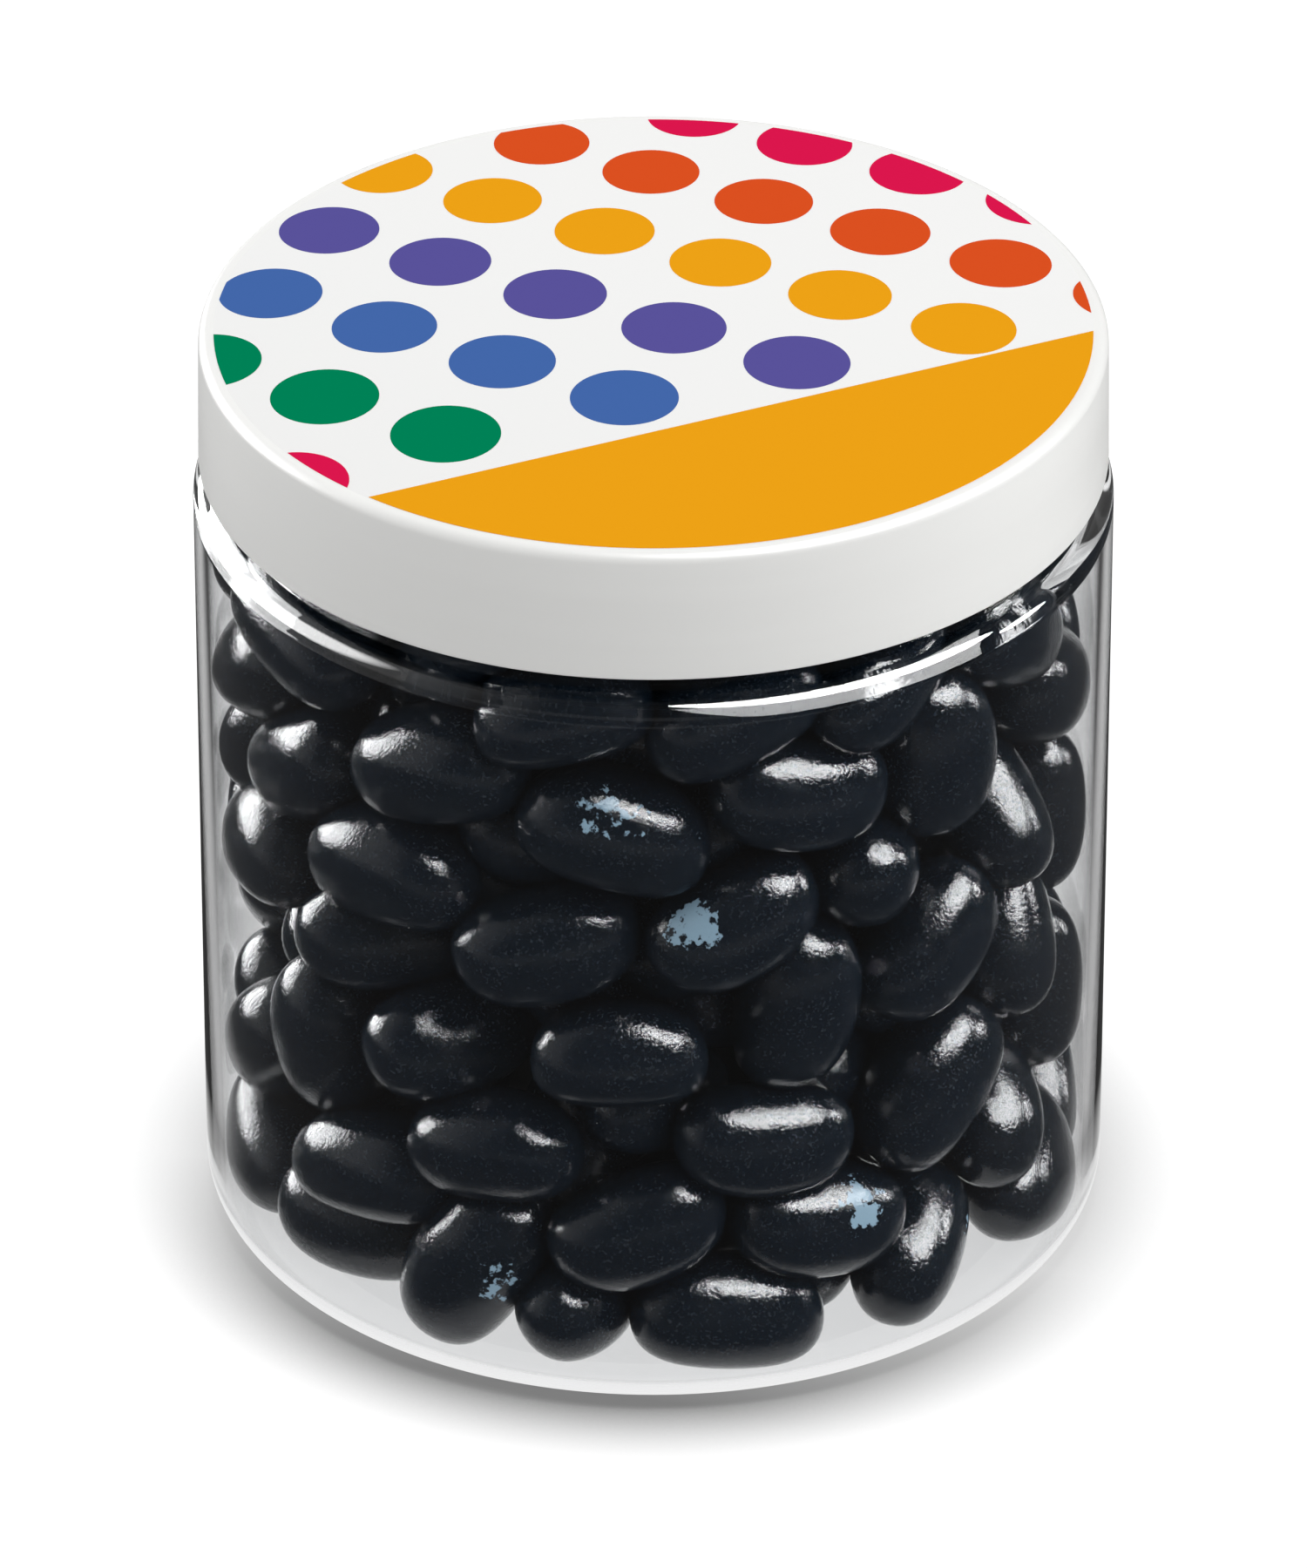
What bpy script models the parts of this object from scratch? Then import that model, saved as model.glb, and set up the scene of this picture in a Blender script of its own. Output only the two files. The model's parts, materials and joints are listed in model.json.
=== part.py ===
"""A shut round jar of jelly beans: clear jar, screw lid, round printed label and the heap of beans.

Metres, +Z up. The origin is the middle of the ring the jar stands on, and the front of the jar is at -Y.
Every piece is turned round the Z axis from a half outline that runs from the axis, outside first, back to
the axis. Each outline is worked out from the sizes below.
"""

import math
import random

import bmesh
import bpy
from mathutils import Vector

MM = 0.001

# Driving sizes of the jar
BODY_RADIUS = 43.55 * MM
WALL = 1.3 * MM
BODY_TOP = 77.9 * MM
FOOT_CORNER = 3.7 * MM
SHOULDER_CORNER = 1.3 * MM
NECK_RADIUS = 40.9 * MM
NECK_FOOT = 79.1 * MM
NECK_TOP = 90.7 * MM
RIM_ROUNDING = 0.6 * MM
FLOOR_THICKNESS = 1.1 * MM
RECESS_RADIUS = 34.0 * MM
RECESS_SLOPE = 2.0 * MM
RECESS_HEIGHT = 0.8 * MM

# Driving sizes of the lid and its label
LID_BOTTOM = 80.05 * MM
LID_TOP = 92.6 * MM
LID_BOTTOM_RADIUS = 43.0 * MM
LID_TOP_RADIUS = 42.8 * MM
LID_WALL = 1.3 * MM
LID_EDGE_ROUNDING = 1.0 * MM
LABEL_RADIUS = 41.4 * MM
LABEL_THICKNESS = 0.2 * MM

# The heap of beans, and the room left between pieces that touch
GAP = 0.35 * MM
BEAN_LENGTH = 17.5 * MM
BEAN_WIDTH = 10.8 * MM
HEAP_RADIUS = BODY_RADIUS - WALL - 1.3 * GAP
HEAP_CORNER = 3.1 * MM
HEAP_SHOULDER = 74.6 * MM
HEAP_NECK = 77.2 * MM
HEAP_NECK_RADIUS = 38.5 * MM
HEAP_TOP = 87.0 * MM
HEAP_TOP_CORNER = 2.0 * MM
HEAP_RING_STEP = 3.0 * MM
BEAN_ROW_STEP = 9.6 * MM
BEANS_IN_WALL_ROW = 15
CREVICE_DEPTH = 3.4 * MM

TURNS = 64
HEAP_TURNS = 68
MERGE = 0.000001


def clear_scene():
    for old in list(bpy.data.objects):
        bpy.data.objects.remove(old, do_unlink=True)


def material(name, colour, roughness, metallic=0.0, clearness=0.0):
    made = bpy.data.materials.new(name)
    made.use_nodes = True
    shader = made.node_tree.nodes["Principled BSDF"]
    shader.inputs["Base Color"].default_value = (*colour, 1.0)
    shader.inputs["Roughness"].default_value = roughness
    shader.inputs["Metallic"].default_value = metallic
    shader.inputs["Transmission Weight"].default_value = clearness
    made.diffuse_color = (*colour, 1.0)
    return made


def arc(middle, radius, start, end, steps):
    """Points of an arc in the (distance from the axis, height) plane, angles in degrees."""
    points = []
    for step in range(steps + 1):
        angle = math.radians(start + (end - start) * step / steps)
        points.append((middle[0] + radius * math.cos(angle), middle[1] + radius * math.sin(angle)))
    return points


def finished(name, bm, look):
    """Closes a turned mesh at the axis, turns its faces outward and gives it to a new object."""
    bmesh.ops.remove_doubles(bm, verts=bm.verts, dist=MERGE)
    bmesh.ops.recalc_face_normals(bm, faces=bm.faces)
    mesh = bpy.data.meshes.new(name)
    bm.to_mesh(mesh)
    bm.free()
    mesh.shade_smooth()
    mesh.set_sharp_from_angle(angle=math.radians(35.0))
    mesh.materials.append(look)
    made = bpy.data.objects.new(name, mesh)
    bpy.context.collection.objects.link(made)
    return made


def turned(name, outline, look):
    """A solid of revolution from a half outline that starts and ends on the axis."""
    bm = bmesh.new()
    corners = [bm.verts.new((radius, 0.0, height)) for radius, height in outline]
    sides = [bm.edges.new(pair) for pair in zip(corners, corners[1:])]
    bmesh.ops.spin(
        bm,
        geom=corners + sides,
        cent=(0.0, 0.0, 0.0),
        axis=(0.0, 0.0, 1.0),
        angle=math.tau,
        steps=TURNS,
        use_merge=True,
    )
    return finished(name, bm, look)


def jar():
    """The open-mouthed clear jar: standing ring, straight wall, narrow shoulder and a plain neck."""
    foot_middle = (BODY_RADIUS - FOOT_CORNER, FOOT_CORNER)
    shoulder_middle = (BODY_RADIUS - SHOULDER_CORNER, BODY_TOP - SHOULDER_CORNER)
    rim_middle = (NECK_RADIUS - WALL / 2.0, NECK_TOP - RIM_ROUNDING)
    inner_corner = FOOT_CORNER - WALL
    inner_foot_middle = (foot_middle[0], FLOOR_THICKNESS + inner_corner)
    inner_shoulder_middle = (shoulder_middle[0] - WALL, shoulder_middle[1] - WALL / 2.0)
    outline = [
        (0.0, RECESS_HEIGHT),
        (RECESS_RADIUS, RECESS_HEIGHT),
        (RECESS_RADIUS + RECESS_SLOPE, 0.0),
        *arc(foot_middle, FOOT_CORNER, -90.0, 0.0, 4),
        *arc(shoulder_middle, SHOULDER_CORNER, 0.0, 70.0, 3),
        (NECK_RADIUS, NECK_FOOT),
        *arc(rim_middle, WALL / 2.0, 0.0, 180.0, 4),
        (NECK_RADIUS - WALL, NECK_FOOT - WALL),
        *arc(inner_shoulder_middle, SHOULDER_CORNER, 70.0, 0.0, 2),
        *arc(inner_foot_middle, inner_corner, 0.0, -90.0, 3),
        (RECESS_RADIUS + RECESS_SLOPE, FLOOR_THICKNESS),
        (RECESS_RADIUS, RECESS_HEIGHT + FLOOR_THICKNESS),
        (0.0, RECESS_HEIGHT + FLOOR_THICKNESS),
    ]
    return turned("jar", outline, material("clear_plastic", (0.93, 0.95, 0.96), 0.04, clearness=1.0))


def lid():
    """The hollow screw cap, its skirt a little wider at the bottom, with a small rounding round its top."""
    edge_middle = (LID_TOP_RADIUS - LID_EDGE_ROUNDING, LID_TOP - LID_EDGE_ROUNDING)
    inner_top = LID_TOP - LID_WALL
    outline = [
        (0.0, inner_top),
        (LID_TOP_RADIUS - LID_WALL, inner_top),
        (LID_BOTTOM_RADIUS - LID_WALL, LID_BOTTOM),
        (LID_BOTTOM_RADIUS, LID_BOTTOM),
        *arc(edge_middle, LID_EDGE_ROUNDING, 0.0, 90.0, 4),
        (0.0, LID_TOP),
    ]
    return turned("lid", outline, material("lid_plastic", (0.86, 0.86, 0.85), 0.35))


def lid_label():
    """The round printed label on the lid."""
    bottom = LID_TOP + GAP
    outline = [
        (0.0, bottom),
        (LABEL_RADIUS, bottom),
        (LABEL_RADIUS, bottom + LABEL_THICKNESS),
        (0.0, bottom + LABEL_THICKNESS),
    ]
    return turned("lid_label", outline, material("label_print", (0.87, 0.87, 0.87), 0.4))


def heap_outline():
    """The smooth outline of the heap: flat on the floor, straight up the wall, in under the shoulder."""
    floor = RECESS_HEIGHT + FLOOR_THICKNESS + GAP
    points = [(0.0, floor)]
    points += arc((HEAP_RADIUS - HEAP_CORNER, floor + HEAP_CORNER), HEAP_CORNER, -90.0, 0.0, 2)
    rise = HEAP_SHOULDER - points[-1][1]
    rings = round(rise / HEAP_RING_STEP)
    start = points[-1][1]
    points += [(HEAP_RADIUS, start + rise * ring / rings) for ring in range(1, rings + 1)]
    points.append((HEAP_NECK_RADIUS, HEAP_NECK))
    crown_middle = (HEAP_NECK_RADIUS - HEAP_TOP_CORNER, HEAP_TOP - HEAP_TOP_CORNER)
    points.append((HEAP_NECK_RADIUS, (HEAP_NECK + crown_middle[1]) / 2.0))
    points += arc(crown_middle, HEAP_TOP_CORNER, 0.0, 90.0, 1)
    inward = round(crown_middle[0] / (2.0 * HEAP_RING_STEP))
    points += [(crown_middle[0] * (1.0 - ring / inward), HEAP_TOP) for ring in range(1, inward + 1)]
    return points


def outer_beans(chance):
    """The beans that touch the wall or the top: a middle, a long direction and a cross direction each."""
    beans = []
    rows = int((HEAP_TOP - BEAN_WIDTH) / BEAN_ROW_STEP) + 1
    for row in range(rows):
        for place in range(BEANS_IN_WALL_ROW):
            turn = (place + 0.5 * (row % 2) + chance.uniform(-0.15, 0.15)) * math.tau / BEANS_IN_WALL_ROW
            height = BEAN_WIDTH * 0.7 + BEAN_ROW_STEP * row + chance.uniform(-1.5, 1.5) * MM
            outward = Vector((math.cos(turn), math.sin(turn), 0.0))
            tilt = math.radians(chance.uniform(-40.0, 40.0))
            around = Vector((-outward.y, outward.x, 0.0))
            upward = Vector((0.0, 0.0, 1.0))
            along = around * math.cos(tilt) + upward * math.sin(tilt)
            across = upward * math.cos(tilt) - around * math.sin(tilt)
            beans.append((outward * HEAP_RADIUS + upward * height, along, across))
    ring_radius = HEAP_NECK_RADIUS - BEAN_WIDTH * 0.6
    while ring_radius > 0.0:
        in_ring = max(1, round(math.tau * ring_radius / (BEAN_LENGTH * 0.85)))
        for place in range(in_ring):
            turn = (place + chance.uniform(-0.2, 0.2)) * math.tau / in_ring
            heading = chance.uniform(0.0, math.pi)
            middle = Vector((ring_radius * math.cos(turn), ring_radius * math.sin(turn), HEAP_TOP))
            along = Vector((math.cos(heading), math.sin(heading), 0.0))
            across = Vector((-along.y, along.x, 0.0))
            beans.append((middle, along, across))
        ring_radius -= BEAN_WIDTH * 1.1
    return beans


def crevice(point, beans):
    """How far the heap's surface lies inside its smooth outline here: least on a bean, most between two."""
    depth = 1.0
    for middle, along, across in beans:
        reach = point - middle
        lengthwise = 2.0 * reach.dot(along) / BEAN_LENGTH
        crosswise = 2.0 * reach.dot(across) / BEAN_WIDTH
        inward = 2.0 * reach.dot(along.cross(across)) / BEAN_LENGTH
        spread = lengthwise**2 + crosswise**2 + inward**2
        if spread < 1.0:
            depth = min(depth, 1.0 - math.sqrt(1.0 - spread))
    return CREVICE_DEPTH * depth


def jelly_beans():
    """The heap as one solid, its wall and top dented between the beans and flat where it lies on the floor."""
    beans = outer_beans(random.Random(7))
    outline = heap_outline()
    bm = bmesh.new()
    corners = [bm.verts.new((radius, 0.0, height)) for radius, height in outline]
    sides = [bm.edges.new(pair) for pair in zip(corners, corners[1:])]
    bmesh.ops.spin(
        bm,
        geom=corners + sides,
        cent=(0.0, 0.0, 0.0),
        axis=(0.0, 0.0, 1.0),
        angle=math.tau,
        steps=HEAP_TURNS,
        use_merge=True,
    )
    bmesh.ops.remove_doubles(bm, verts=bm.verts, dist=MERGE)
    bmesh.ops.recalc_face_normals(bm, faces=bm.faces)
    bm.normal_update()
    floor = outline[0][1]
    moves = []
    for corner in bm.verts:
        if corner.co.z > floor + HEAP_CORNER:
            moves.append((corner, corner.co - corner.normal * crevice(corner.co, beans)))
    for corner, place in moves:
        corner.co = place
    return finished("jelly_beans", bm, material("bean_shell", (0.012, 0.013, 0.017), 0.2))


def main():
    clear_scene()
    jar()
    lid()
    lid_label()
    jelly_beans()


main()
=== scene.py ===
"""A shut clear jar of black jelly beans: the visible pieces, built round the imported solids.

Metres, +Z up, the front of the jar at -Y. The jar, lid and label are turned round the Z axis. The beans are
first laid or set in rows and then pushed apart inside the jar, and fill it round a dark core.
"""

import json
import math
import random

import bmesh
import bpy
import numpy as np
from mathutils import Matrix, Vector

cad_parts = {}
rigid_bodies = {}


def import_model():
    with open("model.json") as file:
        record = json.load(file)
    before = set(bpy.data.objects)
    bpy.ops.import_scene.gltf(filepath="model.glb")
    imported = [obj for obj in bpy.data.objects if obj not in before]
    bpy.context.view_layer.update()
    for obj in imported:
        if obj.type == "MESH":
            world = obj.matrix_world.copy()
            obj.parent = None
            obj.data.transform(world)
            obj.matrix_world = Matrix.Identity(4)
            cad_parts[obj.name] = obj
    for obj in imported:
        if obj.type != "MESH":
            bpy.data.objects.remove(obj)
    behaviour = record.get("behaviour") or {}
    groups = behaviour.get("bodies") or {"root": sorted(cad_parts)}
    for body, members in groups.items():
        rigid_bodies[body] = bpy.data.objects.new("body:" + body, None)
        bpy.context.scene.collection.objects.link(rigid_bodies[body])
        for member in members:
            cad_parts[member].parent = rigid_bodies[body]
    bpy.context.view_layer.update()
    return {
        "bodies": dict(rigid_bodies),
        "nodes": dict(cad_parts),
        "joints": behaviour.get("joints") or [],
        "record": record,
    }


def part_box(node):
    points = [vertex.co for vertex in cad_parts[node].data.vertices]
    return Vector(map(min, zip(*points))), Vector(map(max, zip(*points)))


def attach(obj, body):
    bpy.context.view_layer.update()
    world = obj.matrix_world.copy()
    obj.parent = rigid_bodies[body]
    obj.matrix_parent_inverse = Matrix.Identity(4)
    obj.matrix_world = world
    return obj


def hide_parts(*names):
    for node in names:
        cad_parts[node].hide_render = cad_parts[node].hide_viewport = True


for old in list(bpy.data.objects):
    bpy.data.objects.remove(old, do_unlink=True)

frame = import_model()

MM = 0.001

# The jar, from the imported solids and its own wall
JAR_LOW, JAR_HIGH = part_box("jar")
LID_LOW, LID_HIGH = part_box("lid")
LABEL_LOW, LABEL_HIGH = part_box("lid_label")
BODY_RADIUS = JAR_HIGH[0]
NECK_TOP = JAR_HIGH[2]
WALL = 1.3 * MM
BODY_TOP = 77.6 * MM
FOOT_CORNER = 3.7 * MM
SHOULDER_CORNER = 1.6 * MM
NECK_RADIUS = 40.9 * MM
NECK_FOOT = 77.8 * MM
FLOOR_THICKNESS = 1.1 * MM
RECESS_RADIUS = 34.0 * MM
RECESS_SLOPE = 2.0 * MM
RECESS_HEIGHT = 0.8 * MM
JAR_TURNS = 192

# The lid and its label
LID_BOTTOM = LID_LOW[2]
LID_TOP = LABEL_HIGH[2] - 0.03 * MM
LID_RADIUS = LID_HIGH[0]
LID_DRAFT = 0.2 * MM
LID_WALL = 1.3 * MM
LID_EDGE = 1.0 * MM
LID_HEM = 0.3 * MM
LABEL_RADIUS = LABEL_HIGH[0]
LABEL_TOP = LABEL_HIGH[2]
INK = 0.02 * MM

# The label's print: rows of dots, turned, staggered and a little smaller towards the back
DOT_RADIUS = 4.95 * MM
DOT_STEP = 13.1 * MM
ROW_STEP = 13.55 * MM
ROW_STAGGER = -2.6 * MM
ROW_TURN = -30.2
FIRST_DOT = (-9.4 * MM, 6.6 * MM)
PRINT_NARROWING = 1.9
# The row of dots nearest the front stands off the even pattern
FRONT_ROW = -3
FRONT_ROW_SHIFT = 3.4 * MM
SEGMENT_TURN = 24.9
SEGMENT_EDGE = -18.0 * MM

# The beans
BEAN_LENGTH = 17.6 * MM
BEAN_WIDTH = 10.9 * MM
BEAN_THICKNESS = 10.3 * MM
BEAN_BEND = 0.9 * MM
HEAP_RADIUS = BODY_RADIUS - WALL - 0.35 * MM
HEAP_FLOOR = FLOOR_THICKNESS + 0.15 * MM
HEAP_SHOULDER = 75.0 * MM
HEAP_NECK = 76.8 * MM
HEAP_NECK_RADIUS = NECK_RADIUS - WALL - 0.3 * MM
HEAP_TOP = 88.0 * MM
CORE_RADIUS = 21.0 * MM
CORE_LOW = 15.0 * MM
CORE_HIGH = 76.0 * MM


def linear(red, green, blue):
    """A colour given in 0 to 255 display values, as linear light."""
    shares = [channel / 255.0 for channel in (red, green, blue)]
    return tuple(s / 12.92 if s <= 0.04045 else ((s + 0.055) / 1.055) ** 2.4 for s in shares)


# Colours
WHITE_PLASTIC = linear(243, 243, 241)
WHITE_LABEL = linear(241, 241, 240)
CRIMSON = linear(217, 22, 76)
ORANGE_RED = linear(217, 79, 32)
YELLOW_ORANGE = linear(235, 160, 22)
VIOLET = linear(88, 81, 153)
BLUE = linear(66, 102, 168)
GREEN = linear(0, 128, 85)
ROW_COLOURS = [
    ("violet", VIOLET),
    ("yellow_orange", YELLOW_ORANGE),
    ("orange_red", ORANGE_RED),
    ("crimson", CRIMSON),
    ("green", GREEN),
    ("blue", BLUE),
]
BEAN_BLACK = (0.004, 0.008, 0.014)
BEAN_DUST = (0.036, 0.045, 0.054)
MARK_BLUE = linear(150, 180, 200)

# What a form loses when it is rounded off, given back by how often its sides are cut
FORM_GROWTH = {1: 1.21, 2: 1.12}
# Laid beans with a worn print: which one, and where its middle is along and across the bean in mm
MARKED_BEANS = {1: (-0.5, 3.9), 8: (-3.0, 4.2), 26: (2.2, 3.2), 28: (1.2, -3.2), 33: (1.5, -1.5)}
MARK_LENGTH = 3.4 * MM
MARK_WIDTH = 2.6 * MM
# Beans laid against the front of the wall: turn round the jar from the front in degrees, height
# in mm, lean of the long axis in degrees, turn of one end inward in degrees, and set back in mm
LAID_BEANS = [
    (-33, 64, 18, 0, 0),
    (-6, 60, -14, 0, 0),
    (21, 64, -12, 0, 0),
    (45, 63, 85, 0, 0),
    (79, 59, -20, 0, 0),
    (-62, 56, 25, 0, 1),
    (-42, 51, 5, 0, 0),
    (35, 52, -19, 65, 0),
    (13, 49, 28, 0, 0),
    (-16, 47, 15, 15, 0),
    (-75, 43, 10, 0, 0),
    (-48, 39, 24, 50, 0),
    (44, 42, 42, 0, 0),
    (64, 51, 60, 40, 0),
    (87, 42, 80, 0, 0),
    (19, 38, 89, 0, 1),
    (-5, 36, 3, 0, 0),
    (-33, 31, 18, 70, 0),
    (-54, 26, 88, 0, 0),
    (45, 26, 45, 0, 0),
    (66, 36, 60, 20, 0),
    (17, 26, -15, 0, 0),
    (-25, 22, 4, 0, 0),
    (83, 24, 75, 0, 0),
    (-75, 20, 30, 0, 0),
    (-3, 15, 30, 0, 0),
    (23, 14, -6, 0, 0),
    (-45, 13, 12, 0, 0),
    (-28, 10, 86, 0, 0),
    (66, 15, 30, 30, 0),
    (-52, 6, 20, 20, 0),
    (-11, 6, 10, 75, 0),
    (13, 6, 0, 0, 0),
    (43, 8, 25, 30, 0),
    (72, 7, 20, 10, 0),
]
# Places along a bean's long axis of the balls that stand for it while it settles, and their sizes, in mm
BALL_PLACES = (-5.9, -3.1, 0.0, 3.1, 5.9)
BALL_SIZES = (3.1, 4.8, 5.35, 4.8, 3.1)
WALL_ROWS = 9
WALL_ROW_BEANS = 14
INNER_ROWS = 8
INNER_ROW_BEANS = 10
# How firmly the laid beans stay where they are laid, and how many rounds the pushing apart takes
LAID_HOLD = 0.12
SETTLE_ROUNDS = 260
FREE_ROUNDS = 60
# Beans drawn with the finer form
OUTER_BEANS = 114

# Light of the room on the object: from all round, and from three sides
ROOM_LIGHT = 0.42
RIGHT_LIGHT = 1.75
LEFT_LIGHT = 1.9
FRONT_SHADE = -1.6
# What gloss mirrors of the room: all round, the left, and a window seen in the outside of the jar
ROOM_IMAGE = 0.05
LEFT_IMAGE = 1.0
WINDOW_IMAGE = 16.0
# The floor: its colour, its own glow where it is seen, on the object and through the jar
FLOOR_PALENESS = 0.2
FLOOR_LIFT = 0.92
FLOOR_BOUNCE = 0.3
FLOOR_GLOW = 0.80
# Painted reflection, what gloss mirrors of the floor: all round, far in front, under the jar, and a strip
# behind the jar
FLOOR_IMAGE = 0.05
FAR_IMAGE = 0.22
UNDER_IMAGE = 0.85
STRIP_HALF = 0.052
STRIP_BLUR = 0.008
STRIP_LEAN = 0.36
# The painted shadow round the foot: how far it reaches and how deep it is in front and at the sides
NOOK_REACH = 0.010
NOOK_SHADE = 0.20
SIDE_SHADE = 0.65


# ---- Mesh helpers ----

def arc(middle, radius, start, end, steps):
    """Points of an arc in the (distance from the axis, height) plane, angles in degrees."""
    points = []
    for step in range(steps + 1):
        angle = math.radians(start + (end - start) * step / steps)
        points.append((middle[0] + radius * math.cos(angle), middle[1] + radius * math.sin(angle)))
    return points


def finished(name, bm, *looks):
    """Gives a finished bmesh to a new object at the origin, with its materials."""
    mesh = bpy.data.meshes.new(name)
    bm.to_mesh(mesh)
    bm.free()
    mesh.shade_smooth()
    for look in looks:
        mesh.materials.append(look)
    made = bpy.data.objects.new(name, mesh)
    bpy.context.collection.objects.link(made)
    return made


def turned(name, outline, look, turns=JAR_TURNS, sharp=40.0):
    """A solid of revolution from a half outline that starts and ends on the axis."""
    bm = bmesh.new()
    corners = [bm.verts.new((radius, 0.0, height)) for radius, height in outline]
    sides = [bm.edges.new(pair) for pair in zip(corners, corners[1:])]
    bmesh.ops.spin(
        bm,
        geom=corners + sides,
        cent=(0.0, 0.0, 0.0),
        axis=(0.0, 0.0, 1.0),
        angle=math.tau,
        steps=turns,
        use_merge=True,
    )
    bmesh.ops.remove_doubles(bm, verts=bm.verts, dist=1e-7)
    bmesh.ops.recalc_face_normals(bm, faces=bm.faces)
    made = finished(name, bm, look)
    made.data.set_sharp_from_angle(angle=math.radians(sharp))
    return made


# ---- Material helpers ----

def new_material(name):
    """A new material with its nodes, links and shader."""
    made = bpy.data.materials.new(name)
    made.use_nodes = True
    nodes = made.node_tree.nodes
    return made, nodes, made.node_tree.links, nodes["Principled BSDF"]


def noise(nodes, links, place, scale, detail=2.0, roughness=0.5):
    """Soft noise between 0 and 1."""
    made = nodes.new("ShaderNodeTexNoise")
    made.inputs["Scale"].default_value = scale
    made.inputs["Detail"].default_value = detail
    made.inputs["Roughness"].default_value = roughness
    links.new(place, made.inputs["Vector"])
    return made.outputs["Fac"]


def ranged(nodes, links, value, low, high, to_low, to_high):
    """A value mapped from one range to another and held inside it."""
    made = nodes.new("ShaderNodeMapRange")
    made.inputs["From Min"].default_value = low
    made.inputs["From Max"].default_value = high
    made.inputs["To Min"].default_value = to_low
    made.inputs["To Max"].default_value = to_high
    links.new(value, made.inputs["Value"])
    return made.outputs["Result"]


def bump(nodes, links, height, strength, distance, normal=None):
    made = nodes.new("ShaderNodeBump")
    made.inputs["Strength"].default_value = strength
    made.inputs["Distance"].default_value = distance
    links.new(height, made.inputs["Height"])
    if normal is not None:
        links.new(normal, made.inputs["Normal"])
    return made.outputs["Normal"]


def with_number(nodes, links, value, operation, number):
    """A socket's value worked together with a plain number."""
    made = nodes.new("ShaderNodeMath")
    made.operation = operation
    made.inputs[1].default_value = number
    links.new(value, made.inputs[0])
    return made.outputs[0]


def with_socket(nodes, links, operation, first, second):
    """Two sockets' values worked together."""
    made = nodes.new("ShaderNodeMath")
    made.operation = operation
    links.new(first, made.inputs[0])
    links.new(second, made.inputs[1])
    return made.outputs[0]


def blended(nodes, links, share, first, second):
    """A number between two others, each a plain value or a socket."""
    made = nodes.new("ShaderNodeMix")
    made.data_type = "FLOAT"
    links.new(share, made.inputs["Factor"])
    for socket, value in (("A", first), ("B", second)):
        if isinstance(value, float):
            made.inputs[socket].default_value = value
        else:
            links.new(value, made.inputs[socket])
    return made.outputs["Result"]


def ray_kinds(nodes, links):
    """Masks for rays from the camera, rays that only clear plastic has passed, and mirrored rays."""
    path = nodes.new("ShaderNodeLightPath")
    mirrored = with_number(nodes, links, path.outputs["Glossy Depth"], "GREATER_THAN", 0.5)
    unmirrored = with_number(nodes, links, path.outputs["Glossy Depth"], "LESS_THAN", 0.5)
    through = with_socket(nodes, links, "MULTIPLY", path.outputs["Is Transmission Ray"], unmirrored)
    return path.outputs["Is Camera Ray"], through, mirrored


def clear_plastic():
    """Clear moulded plastic. Lamps shine through it, so the beans inside are lit."""
    look, nodes, links, shader = new_material("clear_plastic")
    shader.inputs["Base Color"].default_value = (0.98, 0.985, 0.99, 1.0)
    shader.inputs["Roughness"].default_value = 0.0
    shader.inputs["IOR"].default_value = 1.5
    shader.inputs["Transmission Weight"].default_value = 1.0
    see_through = nodes.new("ShaderNodeBsdfTransparent")
    path = nodes.new("ShaderNodeLightPath")
    shadow_or_diffuse = nodes.new("ShaderNodeMath")
    shadow_or_diffuse.operation = "MAXIMUM"
    links.new(path.outputs["Is Shadow Ray"], shadow_or_diffuse.inputs[0])
    links.new(path.outputs["Is Diffuse Ray"], shadow_or_diffuse.inputs[1])
    mix = nodes.new("ShaderNodeMixShader")
    links.new(shadow_or_diffuse.outputs[0], mix.inputs["Fac"])
    links.new(shader.outputs[0], mix.inputs[1])
    links.new(see_through.outputs[0], mix.inputs[2])
    links.new(mix.outputs[0], nodes["Material Output"].inputs["Surface"])
    return look


def lid_plastic():
    """White satin plastic with faint flow marks."""
    look, nodes, links, shader = new_material("lid_plastic")
    place = nodes.new("ShaderNodeTexCoord").outputs["Object"]
    cloud = noise(nodes, links, place, 60.0)
    shader.inputs["Base Color"].default_value = (*WHITE_PLASTIC, 1.0)
    shader.inputs["Specular IOR Level"].default_value = 0.25
    links.new(ranged(nodes, links, cloud, 0.3, 0.7, 0.30, 0.40), shader.inputs["Roughness"])
    grain = bump(nodes, links, noise(nodes, links, place, 2500.0), 0.05, 0.05 * MM)
    flat = nodes.new("ShaderNodeVectorMath")
    flat.operation = "MULTIPLY"
    flat.inputs[1].default_value = (12.0, 12.0, 330.0)
    links.new(place, flat.inputs[0])
    waves = noise(nodes, links, flat.outputs["Vector"], 1.0)
    links.new(bump(nodes, links, waves, 0.15, 0.8 * MM, grain), shader.inputs["Normal"])
    return look


def printed(name, colour, roughness=0.45):
    """Ink or white film on the label: one colour with the label's faint tooth."""
    look, nodes, links, shader = new_material(name)
    place = nodes.new("ShaderNodeTexCoord").outputs["Object"]
    shader.inputs["Base Color"].default_value = (*colour, 1.0)
    shader.inputs["Specular IOR Level"].default_value = 0.0
    cloud = noise(nodes, links, place, 120.0)
    uneven = ranged(nodes, links, cloud, 0.3, 0.7, roughness - 0.04, roughness + 0.04)
    links.new(uneven, shader.inputs["Roughness"])
    return look


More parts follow.
